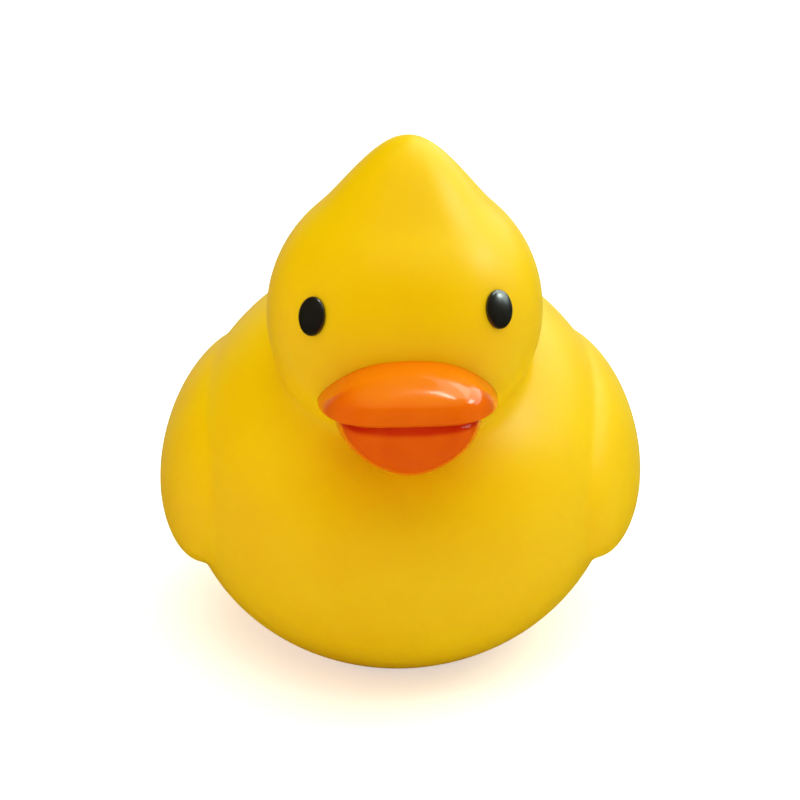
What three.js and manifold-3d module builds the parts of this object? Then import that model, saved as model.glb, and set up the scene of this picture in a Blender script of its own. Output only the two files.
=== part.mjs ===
// A squeezable toy duck: one moulding of soft vinyl, sealed, with a painted bill and eyes.
// Millimetres, +Z up. The duck faces -Y and stands on the flat of its belly, whose middle is the origin.

import * as THREE from 'three';
import { mergeVertices } from 'three/addons/utils/BufferGeometryUtils.js';
import Module from 'manifold-3d';

const wasm = await Module();
wasm.setup();

// Body: an egg lying along Y, narrower above than below, cut off flat at the bottom
const BODY_WIDTH = 74.8;
const BODY_LENGTH = 88;
const BODY_HEIGHT = 67.2;
const BODY_TAPER = 0.03;
const BASE_CUT = 4.6;

// Head: a ball in front of and above the body's middle
const HEAD_WIDTH = 43.4;
const HEAD_LENGTH = 43.6;
const HEAD_HEIGHT = 43.6;
const HEAD_FORWARD = 20.5;
const HEAD_ABOVE_BODY = 34.1;
const NECK_BLEND = 4;

// Crest: the rounded cone on top of the head
const CREST_PROUD = 6.9;
const CREST_ROOT_RADIUS = 13.3;
const CREST_TIP_RADIUS = 7.5;
const CREST_BLEND = 8;

// Tail: a blunt cone that rises out of the rump, past the egg's rear end
const TAIL_ROOT_INSET = 20;
const TAIL_ROOT_RISE = 5;
const TAIL_ROOT_RADIUS = 14;
const TAIL_TIP_OVERHANG = 1;
const TAIL_TIP_RISE = 23;
const TAIL_TIP_RADIUS = 5;
const TAIL_BLEND = 14;

// Wings: soft pads on the body's sides, measured flat against the side, with the rim just under the skin
const WING_LENGTH = 80;
const WING_HEIGHT = 34;
const WING_UPPER_PROUD = 0.9;
const WING_LOWER_PROUD = 5.3;
const WING_SINK = 0.5;
const WING_BACK = 6;
const WING_ABOVE_CENTRE = 4.9;
const RIGHT_WING_DROOP = 1.2;
const WING_PITCH = 14;
const WING_TIP_NARROWING = 0.55;
const WING_OUTLINE_POWER = 2.2;
const WING_EDGE_POWER = 2;

// The moulding came out a little askew: it leans to its left, and the face is turned and raised on that side
const MOULD_LEAN = 1.1;
const FACE_TURN = 2;
const EYE_ROLL = 2;
const BILL_ROLL = 0.65;

// Eyes: low domes, both a little further round to the duck's right
const EYE_WIDTH = 5.15;
const EYE_HEIGHT = 5.85;
const EYE_PROUD = 1.2;
const EYE_BEARING = 42.2;
const EYE_LIFT = 15.2;
const EYE_DRIFT = 1.2;

// Bill: two halves that meet along the mouth, whose line rises towards the front. The lower half is fullest
// a little under the mouth, and its lip rounds up into the upper half, which leaves a groove.
// A power says how squared-off an edge is, as seen from above (nose) or along the bill.
const MOUTH_CORNER_FORWARD = 12.55;
const MOUTH_CORNER_BELOW = 9.7;
const MOUTH_PITCH = 13.4;
const BILL_ROOT_DEPTH = 8;
const UPPER_LENGTH = 21.2;
const UPPER_ROOT_WIDTH = 28;
const UPPER_TIP_WIDTH = 22.2;
const UPPER_ROOT_HEIGHT = 13.25;
const UPPER_TIP_HEIGHT = 3.5;
const UPPER_LIP = 0.5;
const UPPER_SCOOP = 0.6;
const UPPER_NOSE_POWER = 10;
const UPPER_ROOT_POWER = 1.5;
const UPPER_TIP_POWER = 7;
const LOWER_LENGTH = 20.6;
const LOWER_ROOT_WIDTH = 22.7;
const LOWER_TIP_WIDTH = 20.8;
const LOWER_ROOT_DEPTH = 8.6;
const LOWER_TIP_DEPTH = 8.1;
const LOWER_DROP = 1.7;
const LOWER_RIM = 1.7;
const LOWER_NOSE_POWER = 3;
const LOWER_POWER = 1.8;

// Fineness of the surfaces
const SKIN_DETAIL = 18;
const RELAX_ROUNDS = 16;
const WING_SEGMENTS = 56;
const WING_RINGS = 12;
const BILL_SEGMENTS = 36;
const BILL_RINGS = 24;
const EYE_SEGMENTS = 20;
const EYE_RINGS = 10;

// Where the skin is cast from, as a share of the way from the body's middle to the head's
const HEART_SHARE = 0.35;
const CAST_REACH = 200;
const CAST_HALVINGS = 40;
const GRADIENT_STEP = 0.01;

const VINYL = new THREE.MeshStandardMaterial({ color: '#f2c40f', roughness: 0.4, metalness: 0 });

const bodyCentre = new THREE.Vector3(0, 0, BODY_HEIGHT / 2 - BASE_CUT);
const bodySemi = new THREE.Vector3(BODY_WIDTH, BODY_LENGTH, BODY_HEIGHT).divideScalar(2);
const headCentre = new THREE.Vector3(0, -HEAD_FORWARD, bodyCentre.z + HEAD_ABOVE_BODY);
const headSemi = new THREE.Vector3(HEAD_WIDTH, HEAD_LENGTH, HEAD_HEIGHT).divideScalar(2);

const radians = THREE.MathUtils.degToRad;
const mix = (a, b, share) => a + (b - a) * share;

// How wide the body is at a height above its middle, as a share of the even egg's width there
const bodyTaper = (up) => 1 - (BODY_TAPER * up) / bodySemi.z;

// How far a direction reaches to the rim of a squared-off circle: power 2 is round, more is squarer
const squircle = (a, b, power) => (Math.abs(a) ** power + Math.abs(b) ** power) ** (-1 / power);

// A form is a function of a point: negative inside, zero on the surface, positive outside, about a distance
const ellipsoid = (centre, semi) => (point) => {
  const scaled = point.clone().sub(centre).divide(semi);
  const reach = scaled.length();
  const steepness = scaled.divide(semi).length();
  return steepness > 0 ? (reach * (reach - 1)) / steepness : -Math.min(semi.x, semi.y, semi.z);
};

// A cone with ball ends, from one point to another
const taperedLimb = (from, to, fromRadius, toRadius) => {
  const axis = to.clone().sub(from);
  const length = axis.length();
  axis.normalize();
  const taper = (fromRadius - toRadius) / length;
  const flank = Math.sqrt(1 - taper * taper);
  return (point) => {
    const offset = point.clone().sub(from);
    const along = offset.dot(axis);
    const out = Math.sqrt(Math.max(offset.lengthSq() - along * along, 0));
    const turn = along * flank - out * taper;
    if (turn < 0) return offset.length() - fromRadius;
    if (turn > flank * length) return point.distanceTo(to) - toRadius;
    return out * flank + along * taper - fromRadius;
  };
};

// Two forms joined with a fillet
const blend = (a, b, radius) => (point) => {
  const first = a(point);
  const second = b(point);
  const overlap = Math.max(radius - Math.abs(first - second), 0) / radius;
  return Math.min(first, second) - (overlap * overlap * radius) / 4;
};

// Geometry with shared vertices and nothing but positions
const bare = (geometry) => {
  geometry.deleteAttribute('normal');
  geometry.deleteAttribute('uv');
  return mergeVertices(geometry);
};

// Moves every vertex of a geometry to where place() puts it
const reshape = (geometry, place) => {
  const position = geometry.attributes.position;
  for (let i = 0; i < position.count; i += 1) {
    const moved = place(new THREE.Vector3().fromBufferAttribute(position, i));
    position.setXYZ(i, moved.x, moved.y, moved.z);
  }
  return geometry;
};

// For each vertex, the corners of the triangles round it
const trianglesAround = (geometry) => {
  const lists = Array.from({ length: geometry.attributes.position.count }, () => []);
  const index = geometry.index.array;
  for (let i = 0; i < index.length; i += 3) {
    const corners = [...index.slice(i, i + 3)];
    for (const corner of corners) lists[corner].push(corners);
  }
  return lists;
};

// Brings a point near a form's surface onto it, along the steepest way
const settle = (form, point) => {
  const value = form(point);
  const gradient = new THREE.Vector3();
  for (const axis of ['x', 'y', 'z']) {
    const ahead = point.clone();
    const behind = point.clone();
    ahead[axis] += GRADIENT_STEP;
    behind[axis] -= GRADIENT_STEP;
    gradient[axis] = (form(ahead) - form(behind)) / (2 * GRADIENT_STEP);
  }
  return point.addScaledVector(gradient, -value / gradient.lengthSq());
};

// A skin of even triangles over a form: cast out from the heart, then evened along the surface
const skin = (form, heart) => {
  const geometry = bare(new THREE.IcosahedronGeometry(1, SKIN_DETAIL));
  reshape(geometry, (direction) => {
    let inside = 0;
    let outside = CAST_REACH;
    for (let i = 0; i < CAST_HALVINGS; i += 1) {
      const middle = (inside + outside) / 2;
      if (form(heart.clone().addScaledVector(direction, middle)) < 0) inside = middle;
      else outside = middle;
    }
    return direction.multiplyScalar(inside).add(heart);
  });
  const around = trianglesAround(geometry);
  const position = geometry.attributes.position;
  const triangle = new THREE.Triangle();
  const middle = new THREE.Vector3();
  for (let round = 0; round < RELAX_ROUNDS; round += 1) {
    for (let i = 0; i < position.count; i += 1) {
      const balance = new THREE.Vector3();
      let whole = 0;
      for (const corners of around[i]) {
        triangle.setFromAttributeAndIndices(position, ...corners);
        balance.addScaledVector(triangle.getMidpoint(middle), triangle.getArea());
        whole += triangle.getArea();
      }
      balance.divideScalar(whole);
      settle(form, settle(form, balance));
      position.setXYZ(i, balance.x, balance.y, balance.z);
    }
  }
  return geometry;
};

const solid = (geometry) => {
  const vertProperties = Float32Array.from(geometry.attributes.position.array);
  const triVerts = Uint32Array.from(geometry.index.array);
  return new wasm.Manifold(new wasm.Mesh({ numProp: 3, vertProperties, triVerts }));
};

// Body, head, crest and tail as one filleted form
const trunkForm = () => {
  const egg = ellipsoid(bodyCentre, bodySemi);
  const body = (point) => egg(point.clone().setX(point.x / bodyTaper(point.z - bodyCentre.z)));
  const crest = taperedLimb(
    headCentre,
    headCentre.clone().setZ(headCentre.z + headSemi.z + CREST_PROUD - CREST_TIP_RADIUS),
    CREST_ROOT_RADIUS,
    CREST_TIP_RADIUS,
  );
  const tail = taperedLimb(
    new THREE.Vector3(0, bodySemi.y - TAIL_ROOT_INSET, bodyCentre.z + TAIL_ROOT_RISE),
    new THREE.Vector3(0, bodySemi.y + TAIL_TIP_OVERHANG, bodyCentre.z + TAIL_TIP_RISE),
    TAIL_ROOT_RADIUS,
    TAIL_TIP_RADIUS,
  );
  const crestedHead = blend(ellipsoid(headCentre, headSemi), crest, CREST_BLEND);
  const tailedBody = blend(body, tail, TAIL_BLEND);
  return blend(tailedBody, crestedHead, NECK_BLEND);
};

// One wing: a squared-off pad laid on the body's side; side is 1 for +X and -1 for -X
const wing = (side) => {
  const turn = radians(WING_PITCH);
  const geometry = bare(new THREE.SphereGeometry(1, WING_SEGMENTS, WING_RINGS));
  return reshape(geometry, (unit) => {
    const ring = Math.hypot(unit.x, unit.z);
    const edge = squircle(ring, unit.y, WING_EDGE_POWER);
    const outline = ring > 0 ? squircle(unit.x / ring, unit.z / ring, WING_OUTLINE_POWER) : 1;
    const rearward = unit.x * edge * outline;
    const narrowing = 1 - WING_TIP_NARROWING * Math.max(rearward, 0);
    const along = (rearward * WING_LENGTH) / 2;
    const across = (-side * unit.z * edge * outline * narrowing * WING_HEIGHT) / 2;
    const back = WING_BACK + along * Math.cos(turn) - across * Math.sin(turn);
    const droop = side < 0 ? RIGHT_WING_DROOP : 0;
    const up = WING_ABOVE_CENTRE - droop + along * Math.sin(turn) + across * Math.cos(turn);
    const seat = new THREE.Vector3(side * bodySemi.x, back, up);
    seat.divideScalar(seat.clone().divide(bodySemi).length());
    const outward = seat.clone().divide(bodySemi).divide(bodySemi).normalize();
    const proud = mix(WING_LOWER_PROUD, WING_UPPER_PROUD, (1 - side * unit.z * edge * outline) / 2);
    seat.x *= bodyTaper(seat.z);
    return seat.addScaledVector(outward, unit.y * edge * proud - WING_SINK).add(bodyCentre);
  });
};

// Turns a point of the face about the head's middle
const turnFace = (point, roll) => {
  const turn = new THREE.Euler(0, -radians(roll), radians(FACE_TURN));
  return point.sub(headCentre).applyEuler(turn).add(headCentre);
};

// One eye: a low dome square to the head's surface
const eye = (side) => {
  const bearing = radians(side * EYE_BEARING - EYE_DRIFT);
  const lift = radians(EYE_LIFT);
  const gaze = new THREE.Vector3(
    Math.sin(bearing) * Math.cos(lift),
    -Math.cos(bearing) * Math.cos(lift),
    Math.sin(lift),
  );
  const seat = gaze.divideScalar(gaze.clone().divide(headSemi).length());
  const outward = seat.clone().divide(headSemi).divide(headSemi).normalize();
  const tilt = new THREE.Quaternion().setFromUnitVectors(new THREE.Vector3(0, -1, 0), outward);
  const geometry = bare(new THREE.SphereGeometry(1, EYE_SEGMENTS, EYE_RINGS).rotateX(Math.PI / 2));
  return reshape(geometry, (unit) => {
    const dome = new THREE.Vector3((unit.x * EYE_WIDTH) / 2, unit.y * EYE_PROUD, (unit.z * EYE_HEIGHT) / 2);
    return turnFace(dome.applyQuaternion(tilt).add(seat).add(headCentre), EYE_ROLL);
  });
};

// Half of the bill. Forward is along the mouth, up is square to it; over and under are its heights there
const billHalf = ({ length, rootWidth, tipWidth, nosePower, archPower, over, under, drop }) => {
  const pitch = radians(MOUTH_PITCH);
  const geometry = bare(new THREE.SphereGeometry(1, BILL_SEGMENTS, BILL_RINGS));
  return reshape(geometry, (unit) => {
    const ring = Math.hypot(unit.x, unit.z);
    const nose = squircle(unit.y, ring, nosePower);
    const forward = unit.y * nose * (unit.y > 0 ? length : BILL_ROOT_DEPTH);
    const share = Math.max(forward / length, 0);
    const arch = ring > 0
      ? squircle(unit.x / ring, unit.z / ring, archPower(share))
      : 1;
    const aside = -unit.x * nose * arch * mix(rootWidth / 2, tipWidth / 2, share ** 2);
    const up = unit.z * nose * arch * (unit.z > 0 ? over(share) : under(share)) - drop;
    const ahead = MOUTH_CORNER_FORWARD + forward * Math.cos(pitch) - up * Math.sin(pitch);
    const above = forward * Math.sin(pitch) + up * Math.cos(pitch) - MOUTH_CORNER_BELOW;
    return turnFace(new THREE.Vector3(aside, -ahead, above).add(headCentre), BILL_ROLL);
  });
};

const upperBill = () => billHalf({
  length: UPPER_LENGTH,
  rootWidth: UPPER_ROOT_WIDTH,
  tipWidth: UPPER_TIP_WIDTH,
  nosePower: UPPER_NOSE_POWER,
  archPower: (share) => mix(UPPER_ROOT_POWER, UPPER_TIP_POWER, share ** 4),
  over: (share) => mix(UPPER_ROOT_HEIGHT, UPPER_TIP_HEIGHT, share) - UPPER_SCOOP * Math.sin(Math.PI * share),
  under: () => UPPER_LIP,
  drop: 0,
});

const lowerBill = () => billHalf({
  length: LOWER_LENGTH,
  rootWidth: LOWER_ROOT_WIDTH,
  tipWidth: LOWER_TIP_WIDTH,
  nosePower: LOWER_NOSE_POWER,
  archPower: () => LOWER_POWER,
  over: () => LOWER_RIM,
  under: (share) => mix(LOWER_ROOT_DEPTH, LOWER_TIP_DEPTH, share),
  drop: LOWER_DROP,
});

// Everything below the flat that the duck stands on
const belowBase = () => {
  const block = new THREE.BoxGeometry(BODY_WIDTH, BODY_LENGTH, BODY_HEIGHT);
  block.translate(0, 0, -BODY_HEIGHT / 2);
  return bare(block);
};

const heart = bodyCentre.clone().lerp(headCentre, HEART_SHARE);
const relief = [wing(1), wing(-1), upperBill(), lowerBill(), eye(1), eye(-1)];
const lean = new THREE.Matrix4().makeShear(0, 0, 0, 0, Math.tan(radians(MOULD_LEAN)), 0);
const moulding = relief
  .reduce((whole, piece) => whole.add(solid(piece)), solid(skin(trunkForm(), heart)))
  .transform(lean.elements)
  .subtract(solid(belowBase()));

const { vertProperties, triVerts } = moulding.getMesh();
const geometry = new THREE.BufferGeometry();
geometry.setAttribute('position', new THREE.BufferAttribute(vertProperties, 3));
geometry.setIndex(new THREE.BufferAttribute(triVerts, 1));
geometry.computeVertexNormals();

const duck = new THREE.Mesh(geometry, VINYL);
duck.name = 'duck';

const toy = new THREE.Group();
toy.add(duck);

export default toy;
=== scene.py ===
"""A soft vinyl toy duck with a painted bill and painted eyes, and the plain studio that shows it."""

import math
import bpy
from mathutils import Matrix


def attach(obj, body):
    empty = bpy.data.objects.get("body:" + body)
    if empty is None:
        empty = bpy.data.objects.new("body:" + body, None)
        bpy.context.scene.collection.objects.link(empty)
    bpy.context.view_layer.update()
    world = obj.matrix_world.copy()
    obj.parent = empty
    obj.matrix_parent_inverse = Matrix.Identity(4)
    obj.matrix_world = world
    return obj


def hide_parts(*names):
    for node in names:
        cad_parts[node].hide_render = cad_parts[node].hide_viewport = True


bl_info = {
    "name": "Squeeze toy duck",
    "version": (1, 0, 0),
    "blender": (4, 5, 0),
    "location": "View3D > Sidebar > Duck",
    "description": "Models a soft vinyl toy duck with a painted bill and eyes, and its studio",
    "category": "Object",
}

import bmesh
import bpy
from mathutils import Euler, Matrix, Vector

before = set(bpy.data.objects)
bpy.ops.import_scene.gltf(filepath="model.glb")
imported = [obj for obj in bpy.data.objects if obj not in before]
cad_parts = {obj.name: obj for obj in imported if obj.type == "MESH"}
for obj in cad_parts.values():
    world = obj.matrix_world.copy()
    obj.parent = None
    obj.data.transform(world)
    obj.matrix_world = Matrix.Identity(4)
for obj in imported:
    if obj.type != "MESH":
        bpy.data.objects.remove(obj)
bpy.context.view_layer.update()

NODE = "duck"
BODY = "root"
MM = 0.001
UP = (0, 0, 1)
WHITE = (1, 1, 1, 1)

# Fineness of the balls that the forms are pushed out of, and of the skins drawn over them
BALL_SUBDIVISIONS = 7
EYE_SUBDIVISIONS = 6
SKIN_VOXEL = 0.62 * MM
BILL_VOXEL = 0.2 * MM

# Rounds of smoothing, and how far each one moves a point towards the middle of its neighbours
SKIN_ROUNDS = 12
NECK_ROUNDS = 80
BILL_ROUNDS = 16
ROUND_STEP = 0.5

# How late the bill narrows and squares off on the way to its front: 1 is evenly, more is later
NARROWING_POWER = 2
SQUARING_POWER = 4

# Painted shade on the bill's paint: 0 is the lit orange, this is the shaded orange, and 1 is the deep shade
# of the groove
SHADED_STOP = 0.5
# Slopes get painted shade: a surface begins to be a slope at this upward share of its normal, and is one
# after the span
SLOPE_START = 0.85
SLOPE_SPAN = 0.5
SLOPE_SHADE = 0.42
# The top has painted shade on the side away from the key lamp, and darkens towards its ends from this share
# of its half width on
SIDE_SHADE = 0.5
ENDS_START = 0.55
# The lower half has more painted shade, and the groove the most, counted down from its upper lip
LOWER_SHADE = 0.18
GROOVE_CORNERS = 1.05
GROOVE_MIDDLE = 0.6
SHADE_DRIFT = 0.3

# Sizes of the finishes' patterns, how high their relief stands, and where the clouds' tones begin and end.
# The vinyl's real grain is finer and is drawn as coarse as it needs to show
VINYL_CLOUD = 14 * MM
VINYL_CLOUD_LOW = 0.3
VINYL_CLOUD_HIGH = 0.7
VINYL_WAVE = 5 * MM
VINYL_WAVE_RISE = 0.15 * MM
VINYL_GRAIN = 0.8 * MM
VINYL_GRAIN_RISE = 0.05 * MM
SPRAY_CLOUD = 5 * MM
SPRAY_PEEL = 1.4 * MM
SPRAY_PEEL_RISE = 0.1 * MM
BRUSH_RIPPLE = 1.1 * MM
BRUSH_RIPPLE_RISE = 0.1 * MM

# The camera, with its distance in metres
CAMERA_RISE = math.radians(24)
CAMERA_DISTANCE = 0.45
CAMERA_LENS = 120.7
CAMERA_AIM = Vector((0.5, 0, 38.5)) * MM

# The paper floor, in metres: it is lifted by a part near the duck and all the way to white further out
FLOOR_SIZE = 4
PAPER_NEAR = 0.12
PAPER_FAR = 0.7
PAPER_LIFT = 0.5

# Strength of the room's even light, and of the room in reflections, where it is paler behind the duck.
# Behind starts at this backward share of a direction
ROOM_LIGHT = 0.03
ROOM_GLOSS_FRONT = 0.01
ROOM_GLOSS_BACK = 0.4
ROOM_BACK_START = 0.75

# The point that lamps are placed from, in metres, and their tints
LAMP_AIM = Vector((0, 0, 0.042))
DAYLIGHT = "#EBFFF8"
LAMPLIGHT = "#FFDBB0"

# Panes that the gloss mirrors: direction from that point, distance, width and height in metres, and watts
PANES = {
    "window": dict(direction=(0.66, 0.5, 0.57), distance=0.9, size=(1.2, 0.84), watts=9),
    "roof_pane": dict(direction=(0.35, 0.44, 0.8), distance=0.98, size=(0.54, 0.72), watts=2.6, facing=UP),
    "front_pane": dict(direction=(0.8, 0.02, 0.59), distance=0.9, size=(0.3, 0.25), watts=2.8),
    "skylight": dict(direction=(0.16, 0.13, 0.98), distance=0.9, size=(0.3, 0.05), watts=1),
}

# Lamps that light the matt surfaces, in the same terms
SOFT_BOX = dict(distance=1.5, size=(1.2, 1.2), tint=LAMPLIGHT)
LAMPS = {
    "key": dict(direction=(0.7, 0.4, 0.6), distance=0.9, size=(1.1, 0.5), watts=5.2),
    "overhead": dict(direction=(0, -0.05, 1), distance=1.2, size=(1.6, 1.6), watts=18.2),
    "fill": dict(SOFT_BOX, direction=(-0.1, -0.95, 0.15), watts=6.4),
    "left": dict(SOFT_BOX, direction=(-1, -0.2, 0.3), watts=9.2),
    "right": dict(SOFT_BOX, direction=(0.9, -0.5, 0.25), watts=6.4),
    "back": dict(SOFT_BOX, direction=(0, 1, 0.35), watts=3.6),
}


def linear(hex_colour):
    """A linear colour from an sRGB hex value."""
    channels = [int(hex_colour[i:i + 2], 16) / 255 for i in (1, 3, 5)]
    return tuple(c / 12.92 if c <= 0.04045 else ((c + 0.055) / 1.055) ** 2.4 for c in channels)


def length(name, description, millimetres):
    """A size of the panel, written in millimetres and kept in metres."""
    return bpy.props.FloatProperty(
        name=name, description=description, default=millimetres * MM, unit="LENGTH", precision=4)


def angle(name, description, degrees):
    """An angle of the panel, written in degrees."""
    return bpy.props.FloatProperty(
        name=name, description=description, default=math.radians(degrees), subtype="ANGLE")


def power(name, description, default):
    """How square a rounded outline is: 2 is round, more is squarer."""
    return bpy.props.FloatProperty(name=name, description=description, default=default, min=1)


def share(name, description, default):
    """A part of one."""
    return bpy.props.FloatProperty(name=name, description=description, default=default, subtype="FACTOR")


def colour(name, description, hex_colour):
    """A colour of the panel, written as an sRGB hex value."""
    return bpy.props.FloatVectorProperty(
        name=name, description=description, default=linear(hex_colour),
        subtype="COLOR", size=3, min=0, max=1)


class DuckTrunk(bpy.types.PropertyGroup):
    """Sizes of the body, head, crest and tail."""

    body_width: length("Body width", "Across the body without its wings", 73.8)
    body_length: length("Body length", "From breast to rump without the tail", 87)
    body_height: length("Body height", "Of the whole egg, before its base is cut flat", 67.6)
    body_taper: share("Body taper", "How much narrower the egg's top is than its middle", 0.035)
    base_cut: length("Base cut", "How much of the egg's underside the flat base takes off", 5)
    head_width: length("Head width", "Across the cheeks", 43.4)
    head_length: length("Head length", "From face to nape", 43.6)
    head_height: length("Head height", "Without the crest", 43.6)
    head_forward: length("Head forward", "The head's middle in front of the body's", 20.5)
    head_above: length("Head above", "The head's middle over the body's", 34.4)
    crest_proud: length("Crest", "How far the tuft rises over the head", 6.9)
    crest_reach: length("Crest reach", "How far round the tuft the head is drawn up", 15.5)
    tail_above: length("Tail above", "How far over the body's middle the tail is aimed, at the rump", 22.4)
    tail_back: length("Tail back", "How far the tail is drawn backwards", 12.5)
    tail_up: length("Tail up", "How far the tail is drawn upwards", 8)
    tail_reach: length("Tail reach", "How far round the tail the body is drawn out", 21)
    neck_fillet: length("Neck fillet", "How far from the crease the neck is rounded off", 7)
    lean: angle("Lean", "How far the soft moulding leans to its left", 1.1)


class DuckWings(bpy.types.PropertyGroup):
    """Sizes of the wings, which stand off the body's sides as soft pads."""

    length: length("Wing length", "From front to tip", 78)
    height: length("Wing height", "At its widest", 33)
    upper_proud: length("Upper edge", "How far the upper edge stands off the body", 1.6)
    lower_proud: length("Lower edge", "How far the lower edge stands off the body", 6.1)
    sink: length("Sink", "How far the pad's rim is sunk into the body", 0.5)
    back: length("Back", "The pad's middle behind the body's", 7)
    above: length("Above", "The pad's middle over the body's", 5.4)
    droop: length("Droop", "How much lower the duck's right wing sits", 1.2)
    pitch: angle("Pitch", "How far the tip is raised", 12)
    tip_narrowing: share("Tip narrowing", "How much narrower the tip is", 0.55)
    outline_power: power("Outline", "How square the pad's outline is", 2.4)
    edge_power: power("Edge", "How square the pad's edge is", 2.4)


class DuckFace(bpy.types.PropertyGroup):
    """Sizes of the eyes and of both halves of the bill."""

    turn: angle("Face turn", "How far the face looks to its left", 2)
    eye_roll: angle("Eye roll", "How far the line of the eyes tips", 2)
    bill_roll: angle("Bill roll", "How far the bill tips", 0.65)
    eye_width: length("Eye width", "Across one eye", 5.15)
    eye_height: length("Eye height", "Of one eye", 6.05)
    eye_proud: length("Eye proud", "How far an eye stands off the head", 1.2)
    eye_sink: length("Eye sink", "How far an eye goes on inside the head", 0.72)
    eye_bearing: angle("Eye bearing", "How far round the head from its front an eye sits", 42.2)
    eye_drift: angle("Eye drift", "How far both eyes sit to the duck's right", 1.2)
    eye_lift: angle("Eye lift", "How far above the head's middle an eye sits", 15.35)
    mouth_forward: length("Mouth forward", "The mouth's corners in front of the head's middle", 12.55)
    mouth_below: length("Mouth below", "The mouth's corners under the head's middle", 9.7)
    mouth_pitch: angle("Mouth pitch", "How far the bill points up", 12.4)
    root_depth: length("Bill root", "How far the bill goes on inside the head", 8)
    upper_length: length("Upper length", "Of the upper half, from the mouth's corners", 19.4)
    upper_root_width: length("Upper root width", "Across the upper half at the mouth's corners", 28)
    upper_tip_width: length("Upper tip width", "Across the upper half at its front", 22.2)
    upper_root_height: length("Upper root height", "Of the upper half over the mouth's corners", 11.9)
    upper_tip_height: length("Upper tip height", "Of the upper half at its front", 4.1)
    upper_lip: length("Upper lip", "How far the upper lip hangs down", 0.5)
    upper_bulge: length("Upper bulge", "How far the bridge swells between root and front", 0.7)
    upper_nose: power("Upper nose", "How square the upper half's front is", 5)
    upper_root_arch: power("Upper root arch", "How square the upper half is across its root", 1.5)
    upper_tip_arch: power("Upper tip arch", "How square the upper half is across its front", 5)
    lower_length: length("Lower length", "Of the lower half, from the mouth's corners", 18.8)
    lower_root_width: length("Lower root width", "Across the lower half at the mouth's corners", 22.7)
    lower_tip_width: length("Lower tip width", "Across the lower half at its front", 19.3)
    lower_root_depth: length("Lower root depth", "Of the lower half at the mouth's corners", 8)
    lower_tip_depth: length("Lower tip depth", "Of the lower half at its front", 7.3)
    lower_drop: length("Lower drop", "The lower lip's fullest line under the mouth", 1.7)
    lower_rim: length("Lower rim", "How far the lower lip rounds up into the mouth", 1.7)
    lower_nose: power("Lower nose", "How square the lower half's front is", 6)
    lower_lip_arch: power("Lower lip arch", "How square the lower lip is across its top", 4)
    lower_arch: power("Lower arch", "How square the lower half is across", 1.75)


class DuckColours(bpy.types.PropertyGroup):
    """Colours of the vinyl, its paints with the bill's painted shade, and the studio's paper."""

    vinyl: colour("Vinyl", "The soft yellow body", "#F0C501")
    vinyl_deep: colour("Vinyl, deep", "The yellow where the mottling is deepest", "#EEBF00")
    # painted shade: the orange on slopes, on the shaded side and on the lower half
    orange: colour("Bill paint", "The sprayed orange on top of the bill", "#EE7A04")
    orange_deep: colour("Bill paint, deep", "The orange where the coat is thick", "#E76204")
    # painted shade: the deep red-orange in the mouth's groove
    orange_groove: colour("Bill paint, groove", "The orange that ran into the mouth", "#C92A01")
    black: colour("Eye paint", "The black of the eyes", "#1B1914")
    paper: colour("Studio paper", "The floor", "#F2F2F0")


def add_ball(name, centre, semi, subdivisions):
    """A fine ball stretched to its three half sizes, with its place in its mesh."""
    bpy.ops.object.select_all(action="DESELECT")
    bpy.ops.mesh.primitive_ico_sphere_add(
        subdivisions=subdivisions, radius=1, location=centre, scale=semi)
    bpy.ops.object.transform_apply(location=True, rotation=True, scale=True)
    piece = bpy.context.object
    piece.name = name
    piece.data.name = name
    return piece


def finish_with(piece, kind, **settings):
    """Adds a modifier to the active piece, sets it and applies it."""
    modifier = piece.modifiers.new(kind, kind)
    for name, value in settings.items():
        setattr(modifier, name, value)
    bpy.ops.object.modifier_apply(modifier=modifier.name)


def pull(piece, near, offset, reach):
    """Draws the surface out at the point nearest a place, and less and less of it out to the reach."""
    bpy.ops.object.mode_set(mode="EDIT")
    bpy.ops.mesh.select_mode(type="VERT")
    bpy.ops.mesh.select_all(action="DESELECT")
    mesh = bmesh.from_edit_mesh(piece.data)
    min(mesh.verts, key=lambda vertex: (vertex.co - near).length).select_set(True)
    bmesh.update_edit_mesh(piece.data)
    bpy.ops.transform.translate(
        value=offset, use_proportional_edit=True,
        proportional_edit_falloff="SMOOTH", proportional_size=reach)
    bpy.ops.object.mode_set(mode="OBJECT")


def cut_below(piece, height):
    """Cuts off what lies below a height and closes the cut."""
    bpy.ops.object.mode_set(mode="EDIT")
    bpy.ops.mesh.select_all(action="SELECT")
    bpy.ops.mesh.bisect(plane_co=(0, 0, height), plane_no=UP, clear_inner=True, use_fill=True)
    bpy.ops.object.mode_set(mode="OBJECT")


def join(pieces, name):
    """Makes one object of several."""
    bpy.ops.object.select_all(action="DESELECT")
    for piece in pieces:
        piece.select_set(True)
    bpy.context.view_layer.objects.active = pieces[0]
    bpy.ops.object.join()
    pieces[0].name = name
    pieces[0].data.name = name
    return pieces[0]


def dress(piece, material):
    """Gives a finished piece its material and its place in the frame."""
    bpy.ops.object.select_all(action="DESELECT")
    piece.select_set(True)
    bpy.context.view_layer.objects.active = piece
    bpy.ops.object.shade_smooth()
    piece.data.materials.clear()
    piece.data.materials.append(material)
    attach(piece, BODY)
    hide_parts(NODE)


def body_centre(trunk):
    """The middle of the body's egg, which its base cut puts below half its height."""
    return Vector((0, 0, trunk.body_height / 2 - trunk.base_cut))


def body_semi(trunk):
    """Half the body's three sizes."""
    return Vector((trunk.body_width, trunk.body_length, trunk.body_height)) / 2


def head_centre(trunk):
    """The middle of the head."""
    return body_centre(trunk) + Vector((0, -trunk.head_forward, trunk.head_above))


def head_semi(trunk):
    """Half the head's three sizes."""
    return Vector((trunk.head_width, trunk.head_length, trunk.head_height)) / 2


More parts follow.
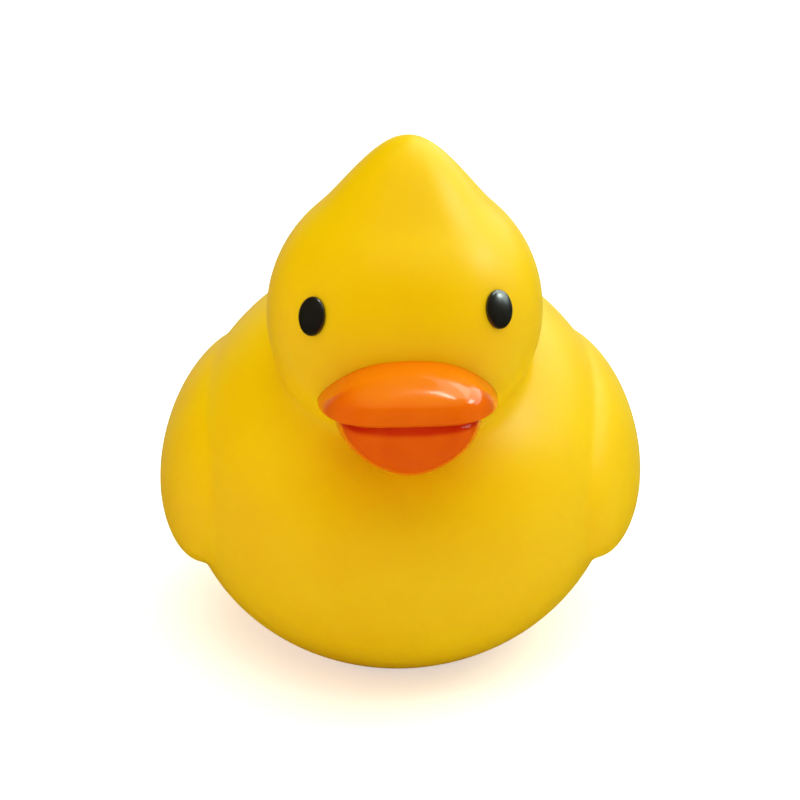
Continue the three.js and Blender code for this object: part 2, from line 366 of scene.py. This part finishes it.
def in_halves(offset, semi):
    """A place measured from a ball's middle, counted in the ball's half sizes."""
    return Vector((offset.x / semi.x, offset.y / semi.y, offset.z / semi.z))


def off_surface(offset, semi):
    """About how far a place measured from a ball's middle lies outside the ball."""
    scaled = in_halves(offset, semi)
    return scaled.length * (scaled.length - 1) / max(in_halves(scaled, semi).length, MM)


def lean(trunk):
    """The soft moulding's lean: its base stays flat, and what is higher stands further to the side."""
    slope = Matrix.Identity(4)
    slope[0][2] = math.tan(trunk.lean)
    return slope


def face_place(trunk, turn, roll):
    """Puts a point that is measured from the head's middle on the turned, leaning face."""
    turned = Euler((0, -roll, turn)).to_matrix().to_4x4()
    return lean(trunk) @ Matrix.Translation(head_centre(trunk)) @ turned


def squircle(a, b, squareness):
    """How far a direction reaches to the rim of a squared-off circle."""
    return (abs(a) ** squareness + abs(b) ** squareness) ** (-1 / squareness)


def clamped(value):
    """A value kept between 0 and 1."""
    return min(max(value, 0), 1)


def between(start, end):
    """A size that changes evenly from root to front."""
    return lambda along: start + (end - start) * along


def wing_swell(offset, semi, wings):
    """How far a wing's pad stands off the body at a place measured from the body's middle."""
    onto_side = semi.x / max(abs(offset.x), MM)
    back = offset.y * onto_side - wings.back
    up = offset.z * onto_side - wings.above + (wings.droop if offset.x < 0 else 0)
    along = (back * math.cos(wings.pitch) + up * math.sin(wings.pitch)) / (wings.length / 2)
    across = (up * math.cos(wings.pitch) - back * math.sin(wings.pitch)) / (wings.height / 2)
    across /= max(1 - wings.tip_narrowing * max(along, 0), MM)
    squareness = wings.outline_power
    out = (abs(along) ** squareness + abs(across) ** squareness) ** (1 / squareness)
    if out >= 1:
        return 0
    dome = (1 - out ** wings.edge_power) ** (1 / wings.edge_power)
    upward = (1 + across) / 2
    proud = wings.lower_proud + (wings.upper_proud - wings.lower_proud) * upward
    return max(dome * proud - wings.sink, 0)


def add_body(trunk, wings):
    """The egg-shaped body, with wings swollen out of its sides, a tail drawn out and a base cut flat."""
    centre = body_centre(trunk)
    semi = body_semi(trunk)
    semi.x *= 1 + trunk.body_taper * centre.z / semi.z
    body = add_ball("body", centre, semi, BALL_SUBDIVISIONS)
    pads = body.vertex_groups.new(name="wings")
    for vertex in body.data.vertices:
        swell = wing_swell(vertex.co - centre, semi, wings)
        if swell > 0:
            pads.add([vertex.index], swell / wings.lower_proud, "REPLACE")
    finish_with(
        body, "DISPLACE", direction="NORMAL", mid_level=0,
        strength=wings.lower_proud, vertex_group=pads.name)
    toward_tail = Vector((0, semi.y, trunk.tail_above))
    rump = centre + toward_tail / in_halves(toward_tail, semi).length
    pull(body, rump, (0, trunk.tail_back, trunk.tail_up), trunk.tail_reach)
    finish_with(
        body, "SIMPLE_DEFORM", deform_method="TAPER", deform_axis="Z", lock_y=True,
        factor=-2 * trunk.body_taper)
    cut_below(body, 0)
    return body


def add_head(trunk):
    """The round head with its crest drawn up to a soft point."""
    centre = head_centre(trunk)
    semi = head_semi(trunk)
    head = add_ball("head", centre, semi, BALL_SUBDIVISIONS)
    pull(head, centre + Vector((0, 0, semi.z)), (0, 0, trunk.crest_proud), trunk.crest_reach)
    return head


def round_neck(moulding, trunk):
    """Rounds off the crease between head and body, most of all right at the crease."""
    fillet = moulding.vertex_groups.new(name="neck")
    body, head = body_centre(trunk), head_centre(trunk)
    body_half, head_half = body_semi(trunk), head_semi(trunk)
    for vertex in moulding.data.vertices:
        from_body = off_surface(vertex.co - body, body_half)
        from_head = off_surface(vertex.co - head, head_half)
        near = 1 - max(abs(from_body), abs(from_head)) / trunk.neck_fillet
        if near > 0:
            fillet.add([vertex.index], near, "REPLACE")
    finish_with(moulding, "SMOOTH", factor=ROUND_STEP, iterations=NECK_ROUNDS, vertex_group=fillet.name)


def add_bill_half(name, face, size):
    """Half of the bill, pushed out of a ball: forward runs along the mouth and up is square to it."""
    half = add_ball(name, (0, 0, 0), (1, 1, 1), BALL_SUBDIVISIONS)
    for vertex in half.data.vertices:
        unit = vertex.co
        ring = math.hypot(unit.x, unit.z)
        nose = squircle(unit.y, ring, size["nose"])
        forward = -unit.y * nose * (size["length"] if unit.y < 0 else face.root_depth)
        along = max(forward / size["length"], 0)
        squareness = size["arch"](along) if unit.z > 0 else size["belly"](along)
        arch = squircle(unit.x / ring, unit.z / ring, squareness) if ring > 0 else 1
        width = size["width"](along ** NARROWING_POWER)
        height = size["over"](along) if unit.z > 0 else size["under"](along)
        up = unit.z * nose * arch * height - size["drop"]
        vertex.co = (unit.x * nose * arch * width / 2, -forward, up)
    return half


def add_bill(face):
    """Both halves of the bill as one form: the lower lip rounds up to the upper one and leaves a groove."""
    ridge = between(face.upper_root_height, face.upper_tip_height)
    vault = between(face.upper_root_arch, face.upper_tip_arch)
    upper = add_bill_half("upper", face, {
        "length": face.upper_length,
        "width": between(face.upper_root_width, face.upper_tip_width),
        "nose": face.upper_nose,
        "arch": lambda along: vault(along ** SQUARING_POWER),
        "belly": lambda along: vault(along ** SQUARING_POWER),
        "over": lambda along: ridge(along) + face.upper_bulge * math.sin(math.pi * along),
        "under": lambda along: face.upper_lip,
        "drop": 0,
    })
    lower = add_bill_half("lower", face, {
        "length": face.lower_length,
        "width": between(face.lower_root_width, face.lower_tip_width),
        "nose": face.lower_nose,
        "arch": lambda along: face.lower_lip_arch,
        "belly": lambda along: face.lower_arch,
        "over": lambda along: face.lower_rim,
        "under": between(face.lower_root_depth, face.lower_tip_depth),
        "drop": face.lower_drop,
    })
    return join([upper, lower], "bill")


def paint_bill_shade(bill, face):
    """Notes the painted shade on the bill: none on top, more on slopes, on the side away from the key lamp
    and below, most in the groove; it also darkens towards the ends.
    """
    # painted shade, stored on the bill's points
    depth = bill.data.attributes.new("painted_shade", "FLOAT", "POINT")
    for vertex in bill.data.vertices:
        slope = clamped((SLOPE_START - vertex.normal.z) / SLOPE_SPAN)
        to_side = max(-vertex.co.x / face.upper_root_width, 0)
        to_ends = max(abs(vertex.co.x) / (face.upper_root_width / 2) - ENDS_START, 0)
        shade = SLOPE_SHADE * slope + (SIDE_SHADE * to_side + to_ends) * (1 - slope)
        under_lip = -vertex.co.z - face.upper_lip
        if under_lip > 0:
            middle = 1 - (2 * vertex.co.x / face.lower_root_width) ** 2
            groove = clamped(GROOVE_CORNERS + GROOVE_MIDDLE * middle - under_lip / face.lower_drop)
            shade = max(shade + LOWER_SHADE, groove)
        depth.data[vertex.index].value = shade


def rgba(tone):
    """A colour with full alpha."""
    return (*tone, 1)


def node(tree, kind, inputs=None, stops=(), **properties):
    """Adds a node with its properties, its inputs as links or values, and its stops of colour."""
    made = tree.nodes.new(kind)
    for name, value in properties.items():
        setattr(made, name, value)
    for name, source in (inputs or {}).items():
        if isinstance(source, bpy.types.NodeSocket):
            tree.links.new(source, made.inputs[name])
        else:
            made.inputs[name].default_value = source
    for position, _ in stops[1:-1]:
        made.color_ramp.elements.new(position)
    for index, (position, tone) in enumerate(stops):
        made.color_ramp.elements[index].position = position
        made.color_ramp.elements[index].color = rgba(tone)
    return made


def new_material(name):
    """An empty material and its node tree."""
    material = bpy.data.materials.new(name)
    material.use_nodes = True
    material.node_tree.nodes.clear()
    return material, material.node_tree


def soft_vinyl(colours):
    """Moulded soft vinyl: light sinks in a little, the gloss is broad and dim, the colour is cloudy."""
    material, tree = new_material("soft_yellow_vinyl")
    place = node(tree, "ShaderNodeTexCoord").outputs["Object"]
    cloud = node(tree, "ShaderNodeTexNoise", {"Vector": place, "Scale": 1 / VINYL_CLOUD, "Detail": 2})
    tone = node(
        tree, "ShaderNodeValToRGB", {"Fac": cloud.outputs["Fac"]},
        stops=((VINYL_CLOUD_LOW, colours.vinyl_deep), (VINYL_CLOUD_HIGH, colours.vinyl)))
    wave = node(tree, "ShaderNodeTexNoise", {"Vector": place, "Scale": 1 / VINYL_WAVE, "Detail": 1})
    swell = node(tree, "ShaderNodeBump", {
        "Height": wave.outputs["Fac"],
        "Strength": 0.5,
        "Distance": VINYL_WAVE_RISE,
    })
    grain = node(tree, "ShaderNodeTexNoise", {"Vector": place, "Scale": 1 / VINYL_GRAIN, "Detail": 1})
    relief = node(tree, "ShaderNodeBump", {
        "Height": grain.outputs["Fac"],
        "Normal": swell.outputs["Normal"],
        "Strength": 0.06,
        "Distance": VINYL_GRAIN_RISE,
    })
    skin = node(tree, "ShaderNodeBsdfPrincipled", {
        "Base Color": tone.outputs["Color"],
        "Normal": relief.outputs["Normal"],
        "Roughness": 0.36,
        "IOR": 1.53,
        "Specular IOR Level": 0.13,
        "Subsurface Weight": 0.3,
        "Subsurface Radius": (1, 0.5, 0.1),
        "Subsurface Scale": 2.5 * MM,
    })
    node(tree, "ShaderNodeOutputMaterial", {"Surface": skin.outputs["BSDF"]})
    return material


def bill_paint(colours):
    """Sprayed orange enamel: wet-looking gloss with a slight orange peel, and painted shade that turns it
    deeper and redder on slopes, below and in the groove, shifted at random by clouds.
    """
    material, tree = new_material("sprayed_orange_enamel")
    place = node(tree, "ShaderNodeTexCoord").outputs["Object"]
    # the bill's painted shade, shifted at random by a cloud below
    depth = node(tree, "ShaderNodeAttribute", attribute_name="painted_shade").outputs["Fac"]
    cloud = node(tree, "ShaderNodeTexNoise", {"Vector": place, "Scale": 1 / SPRAY_CLOUD, "Detail": 2})
    drift = node(
        tree, "ShaderNodeMath", {0: cloud.outputs["Fac"], 1: SHADE_DRIFT, 2: -SHADE_DRIFT / 2},
        operation="MULTIPLY_ADD")
    shade = node(tree, "ShaderNodeMath", {0: depth, 1: drift.outputs["Value"]}, operation="ADD")
    tone = node(
        tree, "ShaderNodeValToRGB", {"Fac": shade.outputs["Value"]},
        stops=((0, colours.orange), (SHADED_STOP, colours.orange_deep), (1, colours.orange_groove)))
    peel = node(tree, "ShaderNodeTexNoise", {"Vector": place, "Scale": 1 / SPRAY_PEEL, "Detail": 1})
    relief = node(tree, "ShaderNodeBump", {
        "Height": peel.outputs["Fac"],
        "Strength": 0.12,
        "Distance": SPRAY_PEEL_RISE,
    })
    skin = node(tree, "ShaderNodeBsdfPrincipled", {
        "Base Color": tone.outputs["Color"],
        "Normal": relief.outputs["Normal"],
        "Roughness": 0.13,
        "IOR": 1.5,
        "Specular IOR Level": 0.36,
    })
    node(tree, "ShaderNodeOutputMaterial", {"Surface": skin.outputs["BSDF"]})
    return material


def eye_paint(colours):
    """Brushed-on black enamel: a deep gloss that is a little uneven."""
    material, tree = new_material("black_eye_enamel")
    place = node(tree, "ShaderNodeTexCoord").outputs["Object"]
    ripple = node(tree, "ShaderNodeTexNoise", {"Vector": place, "Scale": 1 / BRUSH_RIPPLE, "Detail": 1})
    relief = node(tree, "ShaderNodeBump", {
        "Height": ripple.outputs["Fac"],
        "Strength": 0.15,
        "Distance": BRUSH_RIPPLE_RISE,
    })
    skin = node(tree, "ShaderNodeBsdfPrincipled", {
        "Base Color": rgba(colours.black),
        "Normal": relief.outputs["Normal"],
        "Roughness": 0.3,
        "IOR": 1.6,
        "Specular IOR Level": 1,
    })
    node(tree, "ShaderNodeOutputMaterial", {"Surface": skin.outputs["BSDF"]})
    return material


def studio_paper(colours):
    """Matt white paper, which the eye sees lifted towards white with its shadow kept."""
    material, tree = new_material("matt_studio_paper")
    sheet = node(tree, "ShaderNodeBsdfDiffuse", {"Color": rgba(colours.paper)}).outputs["BSDF"]
    place = node(tree, "ShaderNodeTexCoord").outputs["Object"]
    away = node(tree, "ShaderNodeVectorMath", {"Vector": place}, operation="LENGTH")
    lift = node(tree, "ShaderNodeMapRange", {
        "Value": away.outputs["Value"],
        "From Min": PAPER_NEAR,
        "From Max": PAPER_FAR,
        "To Min": PAPER_LIFT,
        "To Max": 1,
    }, interpolation_type="SMOOTHSTEP")
    glow = node(tree, "ShaderNodeEmission", {"Color": WHITE, "Strength": lift.outputs["Result"]})
    lifted = node(tree, "ShaderNodeAddShader", {0: sheet, 1: glow.outputs["Emission"]})
    path = node(tree, "ShaderNodeLightPath").outputs
    seen = node(
        tree, "ShaderNodeMath", {0: path["Is Camera Ray"], 1: path["Is Transmission Ray"]},
        operation="MAXIMUM")
    choice = node(tree, "ShaderNodeMixShader", {
        "Fac": seen.outputs["Value"],
        1: sheet,
        2: lifted.outputs["Shader"],
    })
    node(tree, "ShaderNodeOutputMaterial", {"Surface": choice.outputs["Shader"]})
    return material


def studio_world():
    """White to the eye, a faint even light, and in reflections dim but for what is behind the duck."""
    world = bpy.data.worlds.new("white_studio")
    world.use_nodes = True
    tree = world.node_tree
    tree.nodes.clear()
    direction = node(tree, "ShaderNodeTexCoord").outputs["Generated"]
    backward = node(tree, "ShaderNodeSeparateXYZ", {"Vector": direction}).outputs["Y"]
    gloss = node(tree, "ShaderNodeMapRange", {
        "Value": backward,
        "From Min": ROOM_BACK_START,
        "From Max": 1,
        "To Min": ROOM_GLOSS_FRONT,
        "To Max": ROOM_GLOSS_BACK,
    }, interpolation_type="SMOOTHSTEP")
    even, mirrored, seen = [
        node(tree, "ShaderNodeBackground", {"Color": WHITE, "Strength": strength}).outputs["Background"]
        for strength in (ROOM_LIGHT, gloss.outputs["Result"], 1)]
    path = node(tree, "ShaderNodeLightPath").outputs
    unseen = node(tree, "ShaderNodeMixShader", {"Fac": path["Is Glossy Ray"], 1: even, 2: mirrored})
    room = node(tree, "ShaderNodeMixShader", {
        "Fac": path["Is Camera Ray"],
        1: unseen.outputs["Shader"],
        2: seen,
    })
    node(tree, "ShaderNodeOutputWorld", {"Surface": room.outputs["Shader"]})
    return world


def add_lamp(name, in_gloss, direction, distance, size, watts, tint=DAYLIGHT, facing=None):
    """A flat soft lamp off in a direction, which is either mirrored in the duck's gloss or lights it."""
    way = Vector(direction).normalized()
    turned = Vector(facing or direction).to_track_quat("Z", "Y").to_euler()
    bpy.ops.object.light_add(type="AREA", location=LAMP_AIM + way * distance, rotation=turned)
    lamp = bpy.context.object
    lamp.name = name
    lamp.data.shape = "RECTANGLE"
    lamp.data.size, lamp.data.size_y = size
    lamp.data.energy = watts
    lamp.data.color = linear(tint)
    lamp.visible_glossy = in_gloss
    lamp.visible_diffuse = not in_gloss
    lamp.visible_camera = False


class DUCK_OT_moulding(bpy.types.Operator):
    """Model the one-piece vinyl moulding with its head, crest, tail and wings"""

    bl_idname = "duck.moulding"
    bl_label = "Vinyl moulding"

    def execute(self, context):
        trunk = context.scene.duck_trunk
        moulding = join([add_body(trunk, context.scene.duck_wings), add_head(trunk)], "moulding")
        finish_with(moulding, "REMESH", mode="VOXEL", voxel_size=SKIN_VOXEL)
        finish_with(moulding, "SMOOTH", factor=ROUND_STEP, iterations=SKIN_ROUNDS)
        round_neck(moulding, trunk)
        moulding.data.transform(lean(trunk))
        dress(moulding, soft_vinyl(context.scene.duck_colours))
        return {"FINISHED"}


class DUCK_OT_bill(bpy.types.Operator):
    """Model the painted bill with its two halves and the groove between them"""

    bl_idname = "duck.bill"
    bl_label = "Painted bill"

    def execute(self, context):
        face = context.scene.duck_face
        bill = add_bill(face)
        finish_with(bill, "REMESH", mode="VOXEL", voxel_size=BILL_VOXEL)
        finish_with(bill, "SMOOTH", factor=ROUND_STEP, iterations=BILL_ROUNDS)
        paint_bill_shade(bill, face)
        head = face_place(context.scene.duck_trunk, face.turn, face.bill_roll)
        corners = Matrix.Translation((0, -face.mouth_forward, -face.mouth_below))
        bill.data.transform(head @ corners @ Matrix.Rotation(-face.mouth_pitch, 4, "X"))
        dress(bill, bill_paint(context.scene.duck_colours))
        return {"FINISHED"}


class DUCK_OT_eyes(bpy.types.Operator):
    """Model the two painted eyes, low domes square to the head"""

    bl_idname = "duck.eyes"
    bl_label = "Painted eyes"

    def execute(self, context):
        face = context.scene.duck_face
        head = face_place(context.scene.duck_trunk, face.turn, face.eye_roll)
        head_half = head_semi(context.scene.duck_trunk)
        eye_half = (face.eye_width / 2, face.eye_height / 2, face.eye_proud)
        paint = eye_paint(context.scene.duck_colours)
        for name, side in (("eye_left", 1), ("eye_right", -1)):
            eye = add_ball(name, (0, 0, 0), eye_half, EYE_SUBDIVISIONS)
            cut_below(eye, -face.eye_sink)
            bearing = side * face.eye_bearing - face.eye_drift
            gaze = Vector((
                math.sin(bearing) * math.cos(face.eye_lift),
                -math.cos(bearing) * math.cos(face.eye_lift),
                math.sin(face.eye_lift)))
            seat = gaze / in_halves(gaze, head_half).length
            outward = in_halves(in_halves(seat, head_half), head_half)
            tilt = outward.to_track_quat("Z", "Y").to_matrix().to_4x4()
            eye.data.transform(head @ Matrix.Translation(seat) @ tilt)
            dress(eye, paint)
        return {"FINISHED"}


class DUCK_OT_studio(bpy.types.Operator):
    """Set up the paper floor, the soft lamps, the white room and the camera"""

    bl_idname = "duck.studio"
    bl_label = "Studio"

    def execute(self, context):
        scene = context.scene
        bpy.ops.object.select_all(action="DESELECT")
        bpy.ops.mesh.primitive_plane_add(size=FLOOR_SIZE, location=(0, 0, 0))
        floor = context.object
        floor.name = "floor"
        floor.data.materials.append(studio_paper(scene.duck_colours))
        floor.visible_glossy = False
        scene.world = studio_world()
        for name, pane in PANES.items():
            add_lamp(name, in_gloss=True, **pane)
        for name, lamp in LAMPS.items():
            add_lamp(name, in_gloss=False, **lamp)
        back = Vector((0, -math.cos(CAMERA_RISE), math.sin(CAMERA_RISE)))
        bpy.ops.object.camera_add(
            location=CAMERA_AIM + back * CAMERA_DISTANCE,
            rotation=back.to_track_quat("Z", "Y").to_euler())
        camera = context.object
        camera.data.lens = CAMERA_LENS
        scene.camera = camera
        scene.view_settings.view_transform = "Standard"
        return {"FINISHED"}


class DUCK_PT_panel(bpy.types.Panel):
    """The steps that make the duck, in order, and its settings"""

    bl_idname = "DUCK_PT_panel"
    bl_label = "Duck"
    bl_space_type = "VIEW_3D"
    bl_region_type = "UI"
    bl_category = "Duck"

    def draw(self, context):
        for step in STEPS:
            self.layout.operator(step.bl_idname)
        for name in SETTINGS:
            settings = getattr(context.scene, name)
            box = self.layout.box()
            for field in settings.bl_rna.properties:
                if field.identifier in settings.__annotations__:
                    box.prop(settings, field.identifier)


STEPS = (DUCK_OT_moulding, DUCK_OT_bill, DUCK_OT_eyes, DUCK_OT_studio)
SETTINGS = {
    "duck_trunk": DuckTrunk,
    "duck_wings": DuckWings,
    "duck_face": DuckFace,
    "duck_colours": DuckColours,
}


def register():
    """Adds the settings, the steps and the panel to Blender."""
    for cls in (*SETTINGS.values(), *STEPS, DUCK_PT_panel):
        bpy.utils.register_class(cls)
    for name, cls in SETTINGS.items():
        setattr(bpy.types.Scene, name, bpy.props.PointerProperty(type=cls))


def unregister():
    """Takes them out again."""
    for name in SETTINGS:
        delattr(bpy.types.Scene, name)
    for cls in reversed((*SETTINGS.values(), *STEPS, DUCK_PT_panel)):
        bpy.utils.unregister_class(cls)


def main():
    """Makes the duck and its studio."""
    register()
    bpy.ops.duck.moulding()
    bpy.ops.duck.bill()
    bpy.ops.duck.eyes()
    bpy.ops.duck.studio()


if __name__ == "__main__":
    main()
